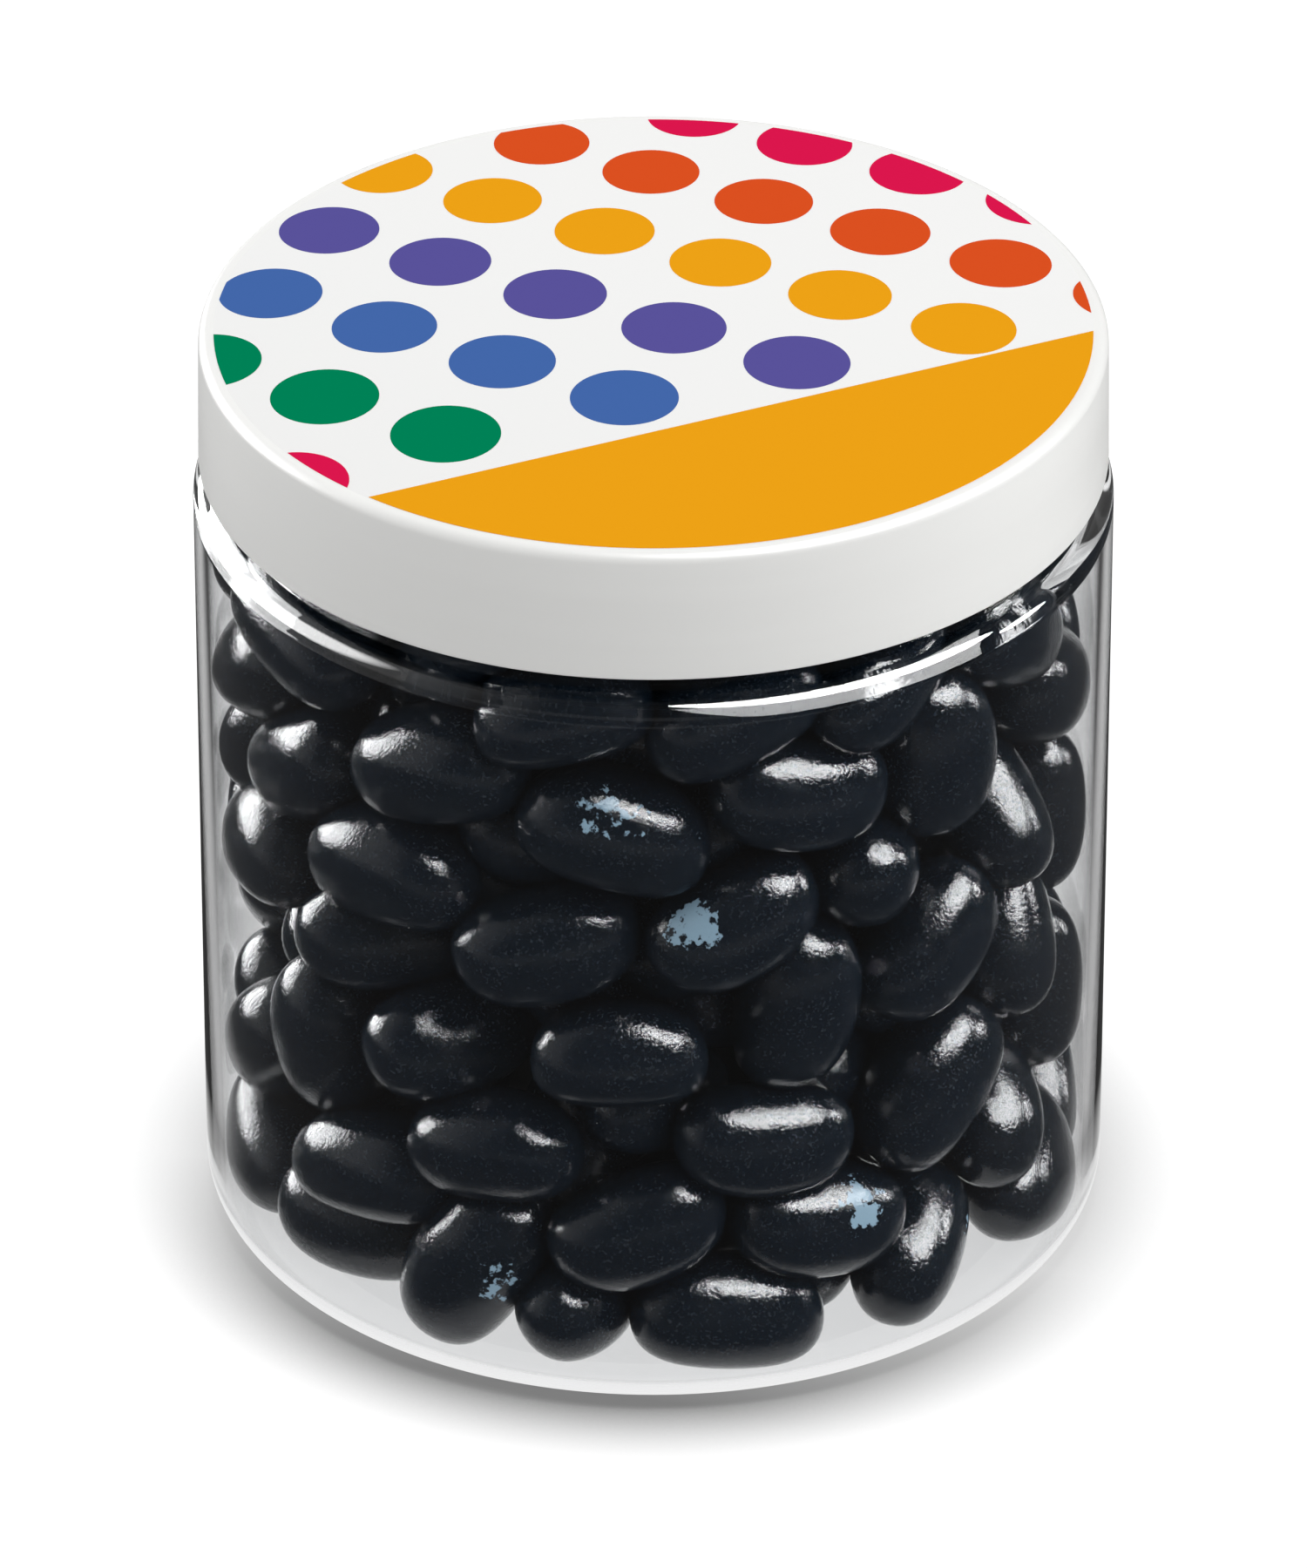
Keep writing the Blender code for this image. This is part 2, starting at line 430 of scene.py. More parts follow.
def bean_shell():
    """Polished black sugar shell: uneven gloss, an orange-peel grain, a faint blue cast and fine pale dust.
    The mark layer, where a bean has one, takes a worn pale blue print."""
    look, nodes, links, shader = new_material("bean_shell")
    place = nodes.new("ShaderNodeTexCoord").outputs["Object"]
    cloud = noise(nodes, links, place, 220.0, detail=3.0)
    speck = noise(nodes, links, place, 3000.0, detail=2.0)
    specks = ranged(nodes, links, speck, 0.55, 0.75, 0.0, 1.0)
    clouds = ranged(nodes, links, cloud, 0.40, 0.70, 0.3, 1.0)
    dust = with_socket(nodes, links, "MULTIPLY", specks, clouds)
    shade = nodes.new("ShaderNodeMix")
    shade.data_type = "RGBA"
    shade.inputs["A"].default_value = (*BEAN_BLACK, 1.0)
    shade.inputs["B"].default_value = (*BEAN_DUST, 1.0)
    links.new(dust, shade.inputs["Factor"])
    printed_here = nodes.new("ShaderNodeAttribute")
    printed_here.attribute_name = "mark"
    wear = noise(nodes, links, place, 900.0, detail=3.0, roughness=0.6)
    wear = ranged(nodes, links, wear, 0.3, 0.7, -0.45, 0.45)
    print_left = with_socket(nodes, links, "ADD", printed_here.outputs["Fac"], wear)
    inked = nodes.new("ShaderNodeMix")
    inked.data_type = "RGBA"
    links.new(shade.outputs["Result"], inked.inputs["A"])
    inked.inputs["B"].default_value = (*MARK_BLUE, 1.0)
    links.new(ranged(nodes, links, print_left, 0.20, 0.32, 0.0, 1.0), inked.inputs["Factor"])
    links.new(inked.outputs["Result"], shader.inputs["Base Color"])
    patch = noise(nodes, links, place, 500.0, detail=4.0, roughness=0.65)
    links.new(ranged(nodes, links, patch, 0.35, 0.7, 0.05, 0.15), shader.inputs["Roughness"])
    peel = bump(nodes, links, noise(nodes, links, place, 420.0, detail=2.0), 0.35, 0.15 * MM)
    grain = bump(nodes, links, speck, 1.0, 0.05 * MM, peel)
    links.new(grain, shader.inputs["Normal"])
    shader.inputs["IOR"].default_value = 1.5
    return look


def core_look():
    """Painted shade between the beans: a near-black stand-in for the hidden beans and the shade among them.
    """
    look, nodes, links, shader = new_material("bean_shade")
    shader.inputs["Base Color"].default_value = (0.003, 0.003, 0.004, 1.0)
    shader.inputs["Roughness"].default_value = 0.6
    return look


# ---- The jar ----

def jar():
    """The clear jar as one closed wall: raised bottom, rounded foot, ledge and neck."""
    foot_middle = (BODY_RADIUS - FOOT_CORNER, FOOT_CORNER)
    shoulder_middle = (BODY_RADIUS - SHOULDER_CORNER, BODY_TOP - SHOULDER_CORNER)
    rim_middle = (NECK_RADIUS - WALL / 2.0, NECK_TOP - WALL / 2.0)
    inner_corner = FOOT_CORNER - WALL
    inner_foot_middle = (foot_middle[0], FLOOR_THICKNESS + inner_corner)
    inner_shoulder_middle = (shoulder_middle[0] - WALL, shoulder_middle[1] - WALL)
    outline = [
        (0.0, RECESS_HEIGHT),
        (RECESS_RADIUS, RECESS_HEIGHT),
        (RECESS_RADIUS + RECESS_SLOPE, 0.0),
        *arc(foot_middle, FOOT_CORNER, -90.0, 0.0, 16),
        *arc(shoulder_middle, SHOULDER_CORNER, 0.0, 85.0, 14),
        (NECK_RADIUS, NECK_FOOT),
        *arc(rim_middle, WALL / 2.0, 0.0, 180.0, 8),
        (NECK_RADIUS - WALL, NECK_FOOT - WALL),
        *arc(inner_shoulder_middle, SHOULDER_CORNER, 85.0, 0.0, 14),
        *arc(inner_foot_middle, inner_corner, 0.0, -90.0, 12),
        (RECESS_RADIUS + RECESS_SLOPE, FLOOR_THICKNESS),
        (RECESS_RADIUS, RECESS_HEIGHT + FLOOR_THICKNESS),
        (0.0, RECESS_HEIGHT + FLOOR_THICKNESS),
    ]
    made = turned("clear_jar", outline, clear_plastic())
    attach(made, "root")
    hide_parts("jar")
    return made


# ---- The lid ----

def lid():
    """The screw lid: a plain side, a rounded top edge and a small hem."""
    top_radius = LID_RADIUS - LID_DRAFT
    edge_middle = (top_radius - LID_EDGE, LID_TOP - LID_EDGE)
    hem_middle = (LID_RADIUS - LID_HEM, LID_BOTTOM + LID_HEM)
    inner_top = LID_TOP - LID_WALL
    outline = [
        (0.0, inner_top),
        (top_radius - LID_WALL, inner_top),
        (LID_RADIUS - LID_WALL, LID_BOTTOM),
        *arc(hem_middle, LID_HEM, -90.0, 0.0, 6),
        *arc(edge_middle, LID_EDGE, 0.0, 90.0, 12),
        (0.0, LID_TOP),
    ]
    made = turned("screw_lid", outline, lid_plastic())
    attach(made, "root")
    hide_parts("lid")
    return made


# ---- The label ----

def narrowed(x, y):
    """Where a point of the print's even pattern lies on the label."""
    share = 1.0 + PRINT_NARROWING * y
    return x / share, y / share


def cut_to_label(bm, middle_turn):
    """Cuts a flat shape that crosses the label's edge to the label's round outline."""
    for step in range(-12, 13):
        angle = middle_turn + math.radians(1.5 * step)
        outward = Vector((math.cos(angle), math.sin(angle), 0.0))
        geometry = bm.verts[:] + bm.edges[:] + bm.faces[:]
        bmesh.ops.bisect_plane(
            bm,
            geom=geometry,
            dist=1e-7,
            plane_co=outward * LABEL_RADIUS * 0.998,
            plane_no=outward,
            clear_outer=True,
        )


def raised(bm, low, high):
    """Makes a flat shape a thin closed layer between two heights."""
    bmesh.ops.translate(bm, verts=bm.verts, vec=(0.0, 0.0, low))
    grown = bmesh.ops.extrude_face_region(bm, geom=bm.faces[:])
    tops = [item for item in grown["geom"] if isinstance(item, bmesh.types.BMVert)]
    bmesh.ops.translate(bm, verts=tops, vec=(0.0, 0.0, high - low))
    bmesh.ops.recalc_face_normals(bm, faces=bm.faces)


def segment_normal():
    """The direction from the segment toward the plain part of the label, at right angles to its edge."""
    turn = math.radians(SEGMENT_TURN)
    return Vector((-math.sin(turn), math.cos(turn), 0.0))


def dot(x, y, index):
    """One printed dot as a bmesh, or None where it would lie off the label or under the segment."""
    middle = Vector((*narrowed(x, y), 0.0))
    if middle.length > LABEL_RADIUS + DOT_RADIUS * 0.9:
        return None
    if middle.dot(segment_normal()) < SEGMENT_EDGE:
        return None
    bm = bmesh.new()
    bmesh.ops.create_circle(bm, cap_ends=True, radius=DOT_RADIUS, segments=64)
    for corner in bm.verts:
        corner.co.x, corner.co.y = narrowed(x + corner.co.x, y + corner.co.y)
    if middle.length > LABEL_RADIUS - DOT_RADIUS * 1.3:
        cut_to_label(bm, math.atan2(middle.y, middle.x))
    if not bm.faces:
        bm.free()
        return None
    raised(bm, LABEL_TOP, LABEL_TOP + INK)
    for face in bm.faces:
        face.material_index = index
    return bm


def segment():
    """The plain coloured segment that covers the front of the label."""
    bm = bmesh.new()
    bmesh.ops.create_circle(bm, cap_ends=True, radius=LABEL_RADIUS * 0.998, segments=JAR_TURNS)
    outward = segment_normal()
    bmesh.ops.bisect_plane(
        bm,
        geom=bm.verts[:] + bm.edges[:] + bm.faces[:],
        dist=1e-7,
        plane_co=outward * SEGMENT_EDGE,
        plane_no=outward,
        clear_outer=True,
    )
    raised(bm, LABEL_TOP, LABEL_TOP + 2.0 * INK)
    return bm


def joined(parts):
    """One bmesh with all of the given ones in it."""
    whole = bmesh.new()
    for part in parts:
        mesh = bpy.data.meshes.new("part")
        part.to_mesh(mesh)
        part.free()
        whole.from_mesh(mesh)
        bpy.data.meshes.remove(mesh)
    return whole


def label():
    """The white film with its dots and its segment."""
    film = turned(
        "label_film",
        [
            (0.0, LID_TOP - 0.02 * MM),
            (LABEL_RADIUS, LID_TOP - 0.02 * MM),
            (LABEL_RADIUS, LID_TOP),
            (LABEL_RADIUS - 0.1 * MM, LABEL_TOP),
            (0.0, LABEL_TOP),
        ],
        printed("label_white", WHITE_LABEL),
    )
    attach(film, "root")
    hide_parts("lid_label")

    turn = math.radians(ROW_TURN)
    along = Vector((math.cos(turn), math.sin(turn)))
    across = Vector((-along.y, along.x))
    dots = []
    for row in range(-4, 5):
        start = Vector(FIRST_DOT) + across * ROW_STEP * row + along * ROW_STAGGER * row
        if row == FRONT_ROW:
            start += along * FRONT_ROW_SHIFT
        for place in range(-6, 7):
            spot = start + along * DOT_STEP * place
            made = dot(spot.x, spot.y, row % len(ROW_COLOURS))
            if made is not None:
                dots.append(made)
    looks = [printed("ink_" + name, colour) for name, colour in ROW_COLOURS]
    dots = finished("label_dots", joined(dots), *looks)
    dots.data.set_sharp_from_angle(angle=math.radians(30.0))
    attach(dots, "root")

    band = finished("label_segment", segment(), printed("ink_segment", YELLOW_ORANGE))
    band.data.set_sharp_from_angle(angle=math.radians(30.0))
    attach(band, "root")


# ---- The beans ----

def wall_frame(turn, lean, inward, spin):
    """A bean's three directions on the wall, as columns: its long axis, its bend and its flat side."""
    outward = Vector((math.sin(turn), -math.cos(turn), 0.0))
    around = Vector((math.cos(turn), math.sin(turn), 0.0))
    upward = Vector((0.0, 0.0, 1.0))
    flat = around * math.cos(lean) + upward * math.sin(lean)
    along = flat * math.cos(inward) - outward * math.sin(inward)
    bend = outward.cross(along).normalized()
    side = along.cross(bend)
    turned_bend = bend * math.cos(spin) + side * math.sin(spin)
    return np.array(Matrix((along, turned_bend, along.cross(turned_bend))).transposed())


def bean_places(chance):
    """Every bean's first middle, frame and size, and how many of them are laid one by one from the list."""
    middles, frames, sizes = [], [], []
    half = BEAN_WIDTH / 2.0
    for turn, height, lean, inward, back in LAID_BEANS:
        angle = math.radians(turn)
        reach = half + (BEAN_LENGTH / 2.0 - half) * math.sin(math.radians(inward))
        away = HEAP_RADIUS - reach - back * MM
        middles.append((away * math.sin(angle), -away * math.cos(angle), height * MM))
        spin = chance.choice((0.0, math.pi)) + chance.uniform(-0.5, 0.5)
        frames.append(wall_frame(angle, math.radians(lean), math.radians(inward), spin))
        sizes.append(chance.uniform(0.97, 1.06))
    laid = len(middles)
    taken = [Vector(middle) for middle in middles]
    for row in range(WALL_ROWS):
        for place in range(WALL_ROW_BEANS):
            angle = (place + 0.5 * (row % 2) + chance.uniform(-0.2, 0.2)) * math.tau / WALL_ROW_BEANS
            height = HEAP_FLOOR + BEAN_WIDTH * (0.55 + 0.87 * row) + chance.uniform(-1.0, 1.0) * MM
            away = min(HEAP_RADIUS, HEAP_NECK_RADIUS + 2.0 * MM) - half
            middle = Vector((away * math.sin(angle), -away * math.cos(angle), height))
            if any((middle - other).length < BEAN_WIDTH * 0.98 for other in taken[:laid]):
                continue
            taken.append(middle)
            middles.append(tuple(middle))
            lean = math.radians(chance.choice((0, 15, -20, 40, -45, 80, 10, -10)))
            frames.append(wall_frame(angle, lean, chance.uniform(0.0, 0.5), chance.uniform(0.0, math.tau)))
            sizes.append(chance.uniform(0.94, 1.05))
    for row in range(INNER_ROWS):
        for place in range(INNER_ROW_BEANS):
            angle = (place + 0.5 * (row % 2) + chance.uniform(-0.2, 0.2)) * math.tau / INNER_ROW_BEANS
            height = HEAP_FLOOR + BEAN_WIDTH * (0.6 + 0.95 * row) + chance.uniform(-1.0, 1.0) * MM
            middles.append((27.0 * MM * math.sin(angle), -27.0 * MM * math.cos(angle), height))
            lean = chance.uniform(-1.2, 1.2)
            frames.append(wall_frame(angle, lean, chance.uniform(0.0, 0.8), chance.uniform(0.0, math.tau)))
            sizes.append(chance.uniform(0.94, 1.05))
    for height in (HEAP_FLOOR + BEAN_WIDTH * 0.5, HEAP_TOP - BEAN_WIDTH * 0.8):
        for ring, count in ((0.0, 1), (15.0 * MM, 6)):
            for place in range(count):
                angle = (place + chance.uniform(-0.1, 0.1)) * math.tau / count
                middles.append((ring * math.sin(angle), -ring * math.cos(angle), height))
                lean = chance.uniform(-0.3, 0.3)
                frames.append(wall_frame(angle, lean, 0.6, chance.uniform(0.0, math.tau)))
                sizes.append(chance.uniform(0.94, 1.05))
    return np.array(middles), np.array(frames), np.array(sizes), laid


def room_at(heights):
    """The inner radius of the jar at these heights."""
    share = np.clip((heights - HEAP_SHOULDER) / (HEAP_NECK - HEAP_SHOULDER), 0.0, 1.0)
    return HEAP_RADIUS + (HEAP_NECK_RADIUS - HEAP_RADIUS) * share


def near_pairs(middles):
    """Pairs of beans near enough to touch."""
    gaps = np.linalg.norm(middles[:, None] - middles[None], axis=2)
    first, second = np.nonzero(np.triu(gaps < 1.15 * BEAN_LENGTH, 1))
    return first, second


def settle(middles, frames, sizes, laid):
    """Pushes the beans apart and inside the jar, each one as a row of balls that move as one body."""
    places = np.zeros((len(BALL_PLACES), 3))
    places[:, 0] = np.array(BALL_PLACES) * MM
    places[:, 1] = BEAN_BEND * ((places[:, 0] / (BEAN_LENGTH / 2.0)) ** 2 - 0.3)
    ball_sizes = np.array(BALL_SIZES) * MM
    home_middles, home_frames = middles.copy(), frames.copy()
    is_laid = np.arange(len(middles)) < laid
    ease = np.where(is_laid, 0.35, 1.0)
    spread = (places**2).sum()
    for turn in range(SETTLE_ROUNDS + FREE_ROUNDS):
        if turn % 8 == 0:
            first, second = near_pairs(middles)
        arms = np.einsum("nij,kj->nki", frames, places) * sizes[:, None, None]
        balls = middles[:, None] + arms
        radii = ball_sizes[None] * sizes[:, None]
        between = balls[first][:, :, None] - balls[second][:, None]
        gaps = np.linalg.norm(between, axis=3)
        overlaps = np.maximum(radii[first][:, :, None] + radii[second][:, None] - gaps, 0.0)
        pushes = between / np.maximum(gaps, 1e-6)[..., None] * overlaps[..., None]
        share = (ease[first] / (ease[first] + ease[second]))[:, None, None]
        touches = overlaps > 0.0
        shifts = np.zeros_like(balls)
        counts = np.zeros(radii.shape)
        np.add.at(shifts, first, (pushes * share[..., None]).sum(2))
        np.add.at(shifts, second, -(pushes * (1.0 - share[..., None])).sum(1))
        np.add.at(counts, first, touches.sum(2))
        np.add.at(counts, second, touches.sum(1))
        shifts /= np.maximum(counts * 0.6, 1.0)[..., None]
        away = np.linalg.norm(balls[..., :2], axis=2)
        past_wall = np.maximum(away + radii - room_at(balls[..., 2]), 0.0)
        shifts[..., :2] -= balls[..., :2] / np.maximum(away, 1e-6)[..., None] * past_wall[..., None]
        shifts[..., 2] += np.maximum(HEAP_FLOOR + radii - balls[..., 2], 0.0)
        shifts[..., 2] -= np.maximum(balls[..., 2] + radii - HEAP_TOP, 0.0)
        middles = middles + shifts.sum(1) / 3.0
        spins = np.cross(arms, shifts).sum(1) / spread * 0.8
        if turn < SETTLE_ROUNDS:
            pull = np.zeros_like(middles)
            pull[:, 2] = -0.02 * MM
            reach = np.linalg.norm(middles[:, :2], axis=1)
            pull[:, :2] = middles[:, :2] / np.maximum(reach, 1e-6)[:, None] * 0.03 * MM
            pull[is_laid] = (home_middles - middles)[is_laid] * LAID_HOLD
            middles = middles + pull
        skew = np.zeros_like(frames)
        skew[:, 0, 1], skew[:, 0, 2] = -spins[:, 2], spins[:, 1]
        skew[:, 1, 0], skew[:, 1, 2] = spins[:, 2], -spins[:, 0]
        skew[:, 2, 0], skew[:, 2, 1] = -spins[:, 1], spins[:, 0]
        frames = frames + skew @ frames
        if turn < SETTLE_ROUNDS:
            frames[is_laid] += (home_frames - frames)[is_laid] * LAID_HOLD
        left, _, right = np.linalg.svd(frames)
        frames = left @ right
    return middles, frames


def bean_form(cuts):
    """One bean as a mesh of a few dozen faces, for a Subdivision Surface to round off."""
    bm = bmesh.new()
    bmesh.ops.create_cube(bm, size=1.0)
    bmesh.ops.subdivide_edges(bm, edges=bm.edges, cuts=cuts, use_grid_fill=True)
    for corner in bm.verts:
        direction = corner.co.normalized()
        fullness = (1.0 - abs(direction.x) ** 2.3) ** 0.5
        round_share = math.hypot(direction.y, direction.z)
        x = direction.x * BEAN_LENGTH / 2.0
        scale = fullness / max(round_share, 1e-6)
        y = direction.y * scale * BEAN_WIDTH / 2.0
        z = direction.z * scale * BEAN_THICKNESS / 2.0
        y += BEAN_BEND * ((2.0 * x / BEAN_LENGTH) ** 2 - 0.3)
        corner.co = (x, y, z)
    bmesh.ops.scale(bm, vec=(FORM_GROWTH[cuts],) * 3, verts=bm.verts)
    mesh = bpy.data.meshes.new("bean_form")
    bm.to_mesh(mesh)
    bm.free()
    return mesh


def mark_depth(frame, corner, index):
    """How far inside its bean's print a corner is: 1 in the middle, 0 at the edge, -1 on unprinted shell."""
    if index not in MARKED_BEANS:
        return -1.0
    turn = math.radians(LAID_BEANS[index][0])
    outward = Vector((math.sin(turn), -math.cos(turn), 0.0))
    along = Vector(frame[:, 0])
    across = outward.cross(along).normalized()
    if corner.dot(outward) < 0.0:
        return -1.0
    middle_along, middle_across = MARKED_BEANS[index]
    share_along = (corner.dot(along) - middle_along * MM) / MARK_LENGTH
    share_across = (corner.dot(across) - middle_across * MM) / MARK_WIDTH
    return max(-1.0, 1.0 - math.hypot(share_along, share_across))


def bean_layer(name, form, chosen, middles, frames, sizes, look):
    """One piece with every chosen bean in it, each a copy of the form set in its place."""
    chance = random.Random(name)
    bm = bmesh.new()
    mark = bm.verts.layers.float.new("mark")
    for index in chosen:
        before = len(bm.verts)
        bm.from_mesh(form)
        bm.verts.ensure_lookup_table()
        fresh = bm.verts[before:]
        stretch = Matrix.Diagonal((chance.uniform(0.96, 1.04), chance.uniform(0.97, 1.03), 1.0)).to_4x4()
        place = Matrix.Translation(middles[index]) @ Matrix(frames[index]).to_4x4()
        place = place @ Matrix.Scale(sizes[index], 4) @ stretch
        bmesh.ops.transform(bm, matrix=place, verts=fresh)
        middle = Vector(middles[index])
        for corner in fresh:
            corner[mark] = mark_depth(frames[index], corner.co - middle, index)
    made = finished(name, bm, look)
    smooth = made.modifiers.new("rounding", "SUBSURF")
    smooth.levels = 2
    smooth.render_levels = 2
    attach(made, "root")
    return made


def core():
    """The dark middle of the heap, behind the beans that can be seen."""
    bm = bmesh.new()
    bmesh.ops.create_cone(
        bm,
        cap_ends=True,
        segments=48,
        radius1=CORE_RADIUS,
        radius2=CORE_RADIUS,
        depth=CORE_HIGH - CORE_LOW,
        matrix=Matrix.Translation((0.0, 0.0, (CORE_HIGH + CORE_LOW) / 2.0)),
    )
    bmesh.ops.bevel(
        bm,
        geom=[edge for edge in bm.edges if abs(edge.verts[0].co.z - edge.verts[1].co.z) < 1e-6],
        offset=5.0 * MM,
        segments=4,
        profile=0.5,
        affect="EDGES",
        material=-1,
    )
    made = finished("heap_core", bm, core_look())
    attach(made, "root")
    return made


def beans():
    """The whole heap: an outer layer of finer beans, plainer ones behind it and the dark core."""
    middles, frames, sizes, laid = bean_places(random.Random(11))
    middles, frames = settle(middles, frames, sizes, laid)
    away = np.linalg.norm(middles[:, :2], axis=1)
    order = sorted(range(len(middles)), key=lambda index: (index >= laid, -away[index]))
    outer = order[:OUTER_BEANS]
    inner = order[OUTER_BEANS:]
    look = bean_shell()
    wall_beans = bean_layer("wall_beans", bean_form(2), outer, middles, frames, sizes, look)
    bean_layer("inner_beans", bean_form(1), inner, middles, frames, sizes, look)
    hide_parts("jelly_beans")
    core()


# ---- The setting ----

def camera():
    """In front of the jar and above it, far off with a long lens."""
    target = Vector((0.0, 0.0, 0.04303))
    distance = 1.2363
    pitch = math.radians(31.165)
    made = bpy.data.objects.new("camera", bpy.data.cameras.new("camera"))
    made.data.lens = 295.7
    made.data.sensor_width = 36.0
    made.data.clip_start = 0.05
    made.location = target + Vector((0.0, -math.cos(pitch), math.sin(pitch))) * distance
    made.rotation_euler = (math.pi / 2.0 - pitch, 0.0, 0.0)
    bpy.context.collection.objects.link(made)
    bpy.context.scene.camera = made


def softbox(name, direction, distance, width, height, brightness):
    """A soft panel that the gloss mirrors; the plain light on the object is the room's."""
    light = bpy.data.lights.new(name, "AREA")
    light.shape = "ELLIPSE"
    light.size = width
    light.size_y = height
    light.energy = brightness * width * height * math.pi / 4.0 * math.pi
    made = bpy.data.objects.new(name, light)
    away = Vector(direction).normalized()
    made.location = Vector((0.0, 0.0, 0.045)) + away * distance
    made.rotation_euler = away.to_track_quat("Z", "Y").to_euler()
    made.visible_camera = False
    made.visible_diffuse = False
    bpy.context.scene.collection.objects.link(made)


def lobe(nodes, links, direction, strength, edge=0.0):
    """Light from one side of the room, fading off round it."""
    facing = nodes.new("ShaderNodeVectorMath")
    facing.operation = "DOT_PRODUCT"
    links.new(nodes.new("ShaderNodeTexCoord").outputs["Generated"], facing.inputs[0])
    facing.inputs[1].default_value = Vector(direction).normalized()
    return ranged(nodes, links, facing.outputs["Value"], edge, 1.0, 0.0, strength)


def room():
    """A pale room with soft light from all round, dim where the beans mirror it, and seen as plain white."""
    world = bpy.data.worlds.new("room")
    bpy.context.scene.world = world
    world.use_nodes = True
    nodes, links = world.node_tree.nodes, world.node_tree.links
    light = nodes["Background"]
    light.inputs["Color"].default_value = (1.0, 1.0, 1.0, 1.0)
    straight, through, mirrored = ray_kinds(nodes, links)
    seen = with_socket(nodes, links, "MAXIMUM", straight, through)
    right = lobe(nodes, links, (0.88, -0.45, -0.05), RIGHT_LIGHT)
    left = lobe(nodes, links, (-0.97, 0.20, -0.05), LEFT_LIGHT)
    front = lobe(nodes, links, (-0.60, -0.80, -0.05), FRONT_SHADE, 0.5)
    sides = with_socket(nodes, links, "ADD", right, left)
    sides = with_socket(nodes, links, "ADD", sides, front)
    lit = with_number(nodes, links, sides, "ADD", ROOM_LIGHT)
    glow = lobe(nodes, links, (-0.80, 0.60, 0.0), LEFT_IMAGE)
    image = with_number(nodes, links, glow, "ADD", ROOM_IMAGE)
    path = nodes.new("ShaderNodeLightPath")
    outside = with_number(nodes, links, path.outputs["Transmission Depth"], "LESS_THAN", 0.5)
    window = lobe(nodes, links, (-0.88, 0.25, 0.40), 1.0)
    window = ranged(nodes, links, window, 0.84, 0.92, 0.0, WINDOW_IMAGE)
    window = with_socket(nodes, links, "MULTIPLY", window, outside)
    window = with_socket(nodes, links, "MULTIPLY", window, path.outputs["Is Singular Ray"])
    image = with_socket(nodes, links, "MAXIMUM", image, window)
    strength = blended(nodes, links, mirrored, lit, image)
    strength = blended(nodes, links, seen, strength, 1.0)
    links.new(strength, light.inputs["Strength"])


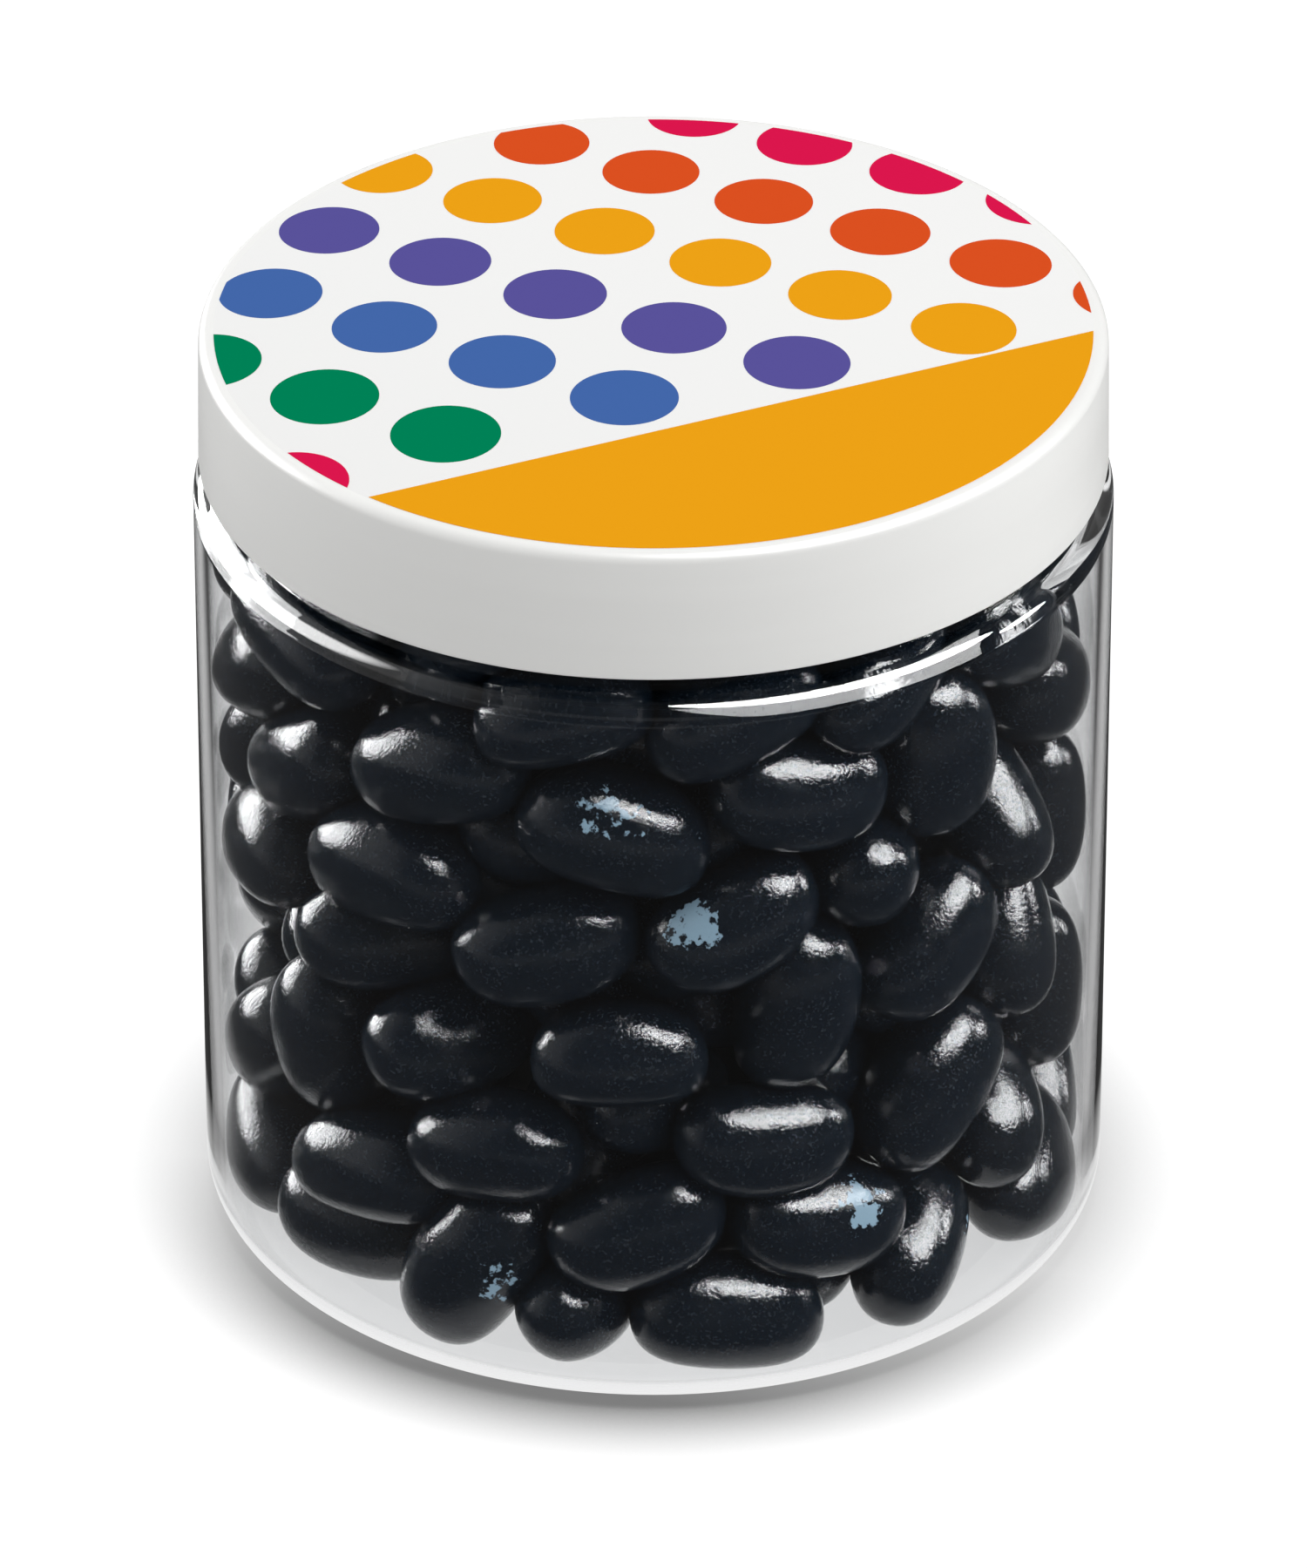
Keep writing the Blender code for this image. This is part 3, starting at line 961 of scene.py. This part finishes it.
def floor():
    """The pale floor: white where it is seen, with a painted shadow round the jar's foot, and as a painted
    reflection a white strip behind the jar, a white patch under it and a grey field far in front on a dim
    ground."""
    bm = bmesh.new()
    bmesh.ops.create_grid(bm, x_segments=1, y_segments=1, size=3.0)
    look, nodes, links, shader = new_material("pale_floor")
    shader.inputs["Roughness"].default_value = 0.9
    shader.inputs["Specular IOR Level"].default_value = 0.0
    straight, through, mirrored = ray_kinds(nodes, links)
    place = nodes.new("ShaderNodeTexCoord").outputs["Object"]
    apart = nodes.new("ShaderNodeSeparateXYZ")
    links.new(place, apart.inputs[0])
    from_axis = nodes.new("ShaderNodeVectorMath")
    from_axis.operation = "LENGTH"
    links.new(place, from_axis.inputs[0])
    # Painted reflection: what gloss sees of the floor is a made-up image, a bright strip behind the jar seen
    # from inside it, a patch under the jar and a grey field far in front
    sideways = with_number(nodes, links, apart.outputs["X"], "ABSOLUTE", 0.0)
    lean = with_number(nodes, links, apart.outputs["Y"], "MULTIPLY", STRIP_LEAN)
    beside = with_socket(nodes, links, "SUBTRACT", sideways, lean)
    strip = ranged(nodes, links, beside, STRIP_HALF - STRIP_BLUR, STRIP_HALF + STRIP_BLUR, 1.0, 0.0)
    behind = ranged(nodes, links, apart.outputs["Y"], -STRIP_BLUR, STRIP_BLUR, 0.0, 1.0)
    bright = with_socket(nodes, links, "MULTIPLY", strip, behind)
    path = nodes.new("ShaderNodeLightPath")
    inside = with_number(nodes, links, path.outputs["Transmission Depth"], "GREATER_THAN", 0.5)
    bright = with_socket(nodes, links, "MULTIPLY", bright, inside)
    under = ranged(nodes, links, from_axis.outputs["Value"], 0.044, 0.05, UNDER_IMAGE, 0.0)
    far = ranged(nodes, links, apart.outputs["Y"], -0.24, -0.20, FAR_IMAGE, 0.0)
    bright = with_socket(nodes, links, "MAXIMUM", bright, under)
    bright = with_socket(nodes, links, "MAXIMUM", bright, far)
    image = blended(nodes, links, bright, FLOOR_IMAGE, 1.0)
    # Painted shadow: the floor's colour and glow are darkened near the jar by ambient occlusion, deepest in
    # front and lightest on the right
    nook = nodes.new("ShaderNodeAmbientOcclusion")
    nook.inputs["Distance"].default_value = NOOK_REACH
    open_share = ranged(nodes, links, nook.outputs["AO"], 0.45, 1.0, 0.0, 1.0)
    rightward = with_number(nodes, links, apart.outputs["X"], "MULTIPLY", 0.25)
    toward = with_socket(nodes, links, "ADD", apart.outputs["Y"], rightward)
    deepest = ranged(nodes, links, toward, -0.042, -0.010, NOOK_SHADE, SIDE_SHADE)
    shadow = blended(nodes, links, open_share, deepest, 1.0)
    pale = with_number(nodes, links, shadow, "MULTIPLY", FLOOR_PALENESS)
    paleness = blended(nodes, links, mirrored, pale, 0.0)
    shade = nodes.new("ShaderNodeMix")
    shade.data_type = "RGBA"
    shade.inputs["A"].default_value = (0.0, 0.0, 0.0, 1.0)
    shade.inputs["B"].default_value = (1.0, 1.0, 1.0, 1.0)
    links.new(paleness, shade.inputs["Factor"])
    links.new(shade.outputs["Result"], shader.inputs["Base Color"])
    lift = with_number(nodes, links, shadow, "MULTIPLY", FLOOR_LIFT)
    lift = blended(nodes, links, straight, FLOOR_BOUNCE, lift)
    lift = blended(nodes, links, through, lift, FLOOR_GLOW)
    lift = blended(nodes, links, mirrored, lift, image)
    shader.inputs["Emission Color"].default_value = (1.0, 1.0, 1.0, 1.0)
    links.new(lift, shader.inputs["Emission Strength"])
    finished("floor", bm, look)


def lamps():
    """One panel at the back on the left and two on the right."""
    softbox("left_softbox", (-0.80, 0.52, 0.26), 1.5, 1.55, 1.15, 18.0)
    softbox("right_softbox", (0.50, -0.20, 0.84), 1.5, 1.6, 1.6, 30.0)
    softbox("far_right_softbox", (0.93, 0.15, 0.33), 1.5, 0.40, 0.50, 30.0)


jar()
lid()
label()
beans()
camera()
room()
floor()
lamps()
bpy.context.scene.view_settings.view_transform = "Standard"
